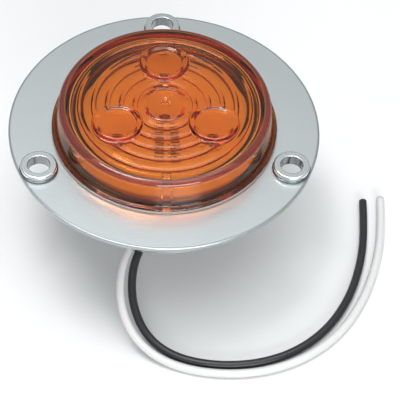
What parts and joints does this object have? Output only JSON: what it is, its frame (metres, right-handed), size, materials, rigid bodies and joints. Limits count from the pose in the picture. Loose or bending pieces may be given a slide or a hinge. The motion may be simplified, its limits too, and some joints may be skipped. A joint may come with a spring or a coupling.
{
  "type": "trailer marker light",
  "caption": "Round flange-mount LED marker and clearance lamp for a trailer: amber lens over a chromed can, screw eyelets, and a plug-in two-wire pigtail.",
  "frame": {"origin": "centre of the flange's back face, where the lamp meets its panel", "axes": "+Z out of the lens, away from the panel; +Y from the centre towards the screw eyelet that stands alone; +X completes the right-handed set"},
  "size_m": [0.1127, 0.1058, 0.0491],
  "materials": {
    "chrome_plating": "bright chrome plate on a moulded can, with fine polishing marks",
    "amber_lens": "clear amber polycarbonate, gloss",
    "seal_rubber": "soft pale silicone seal",
    "potting_resin": "cast epoxy",
    "socket_plastic": "moulded black nylon",
    "board_laminate": "glass laminate with a white solder mask",
    "solder_tin": "bright tin",
    "nickelled_brass": "nickel plate",
    "tinned_brass": "tin plate",
    "led_package": "clear dome on a pale moulded package",
    "resistor_package": "dark ceramic chip with tinned ends",
    "diode_package": "moulded black package",
    "plug_rubber": "moulded black PVC, satin",
    "black_insulation": "extruded PVC",
    "white_insulation": "extruded PVC"
  },
  "bodies": {
    "lamp": {"flange_can": "chrome_plating", "socket_block": "socket_plastic", "potting": "potting_resin", "lens": "amber_lens", "lens_gasket": "seal_rubber", "circuit_board": "board_laminate", "pin_solder": "solder_tin", "screw_eyelet_top": "chrome_plating", "screw_eyelet_left": "chrome_plating", "screw_eyelet_right": "chrome_plating", "contact_pin_far": "nickelled_brass", "contact_pin_near": "nickelled_brass", "led_top": "led_package", "led_left": "led_package", "led_right": "led_package", "led_centre": "led_package", "led_legs": "solder_tin", "chip_resistor_1": "resistor_package", "chip_resistor_2": "resistor_package", "chip_resistor_3": "resistor_package", "chip_resistor_4": "resistor_package", "rectifier_diode": "diode_package", "surge_diode": "diode_package"},
    "pigtail": {"plug_body": "plug_rubber", "plug_terminal_far": "tinned_brass", "plug_terminal_near": "tinned_brass", "moulded_conductor_black": "black_insulation", "moulded_conductor_white": "white_insulation", "wire_black": "black_insulation", "wire_white": "white_insulation"}
  },
  "joints": [
    {"name": "plug_pull", "type": "slide", "parent": "lamp", "child": "pigtail", "axis": [0, 0, -1], "range_m": [0, 0.013]}
  ]
}
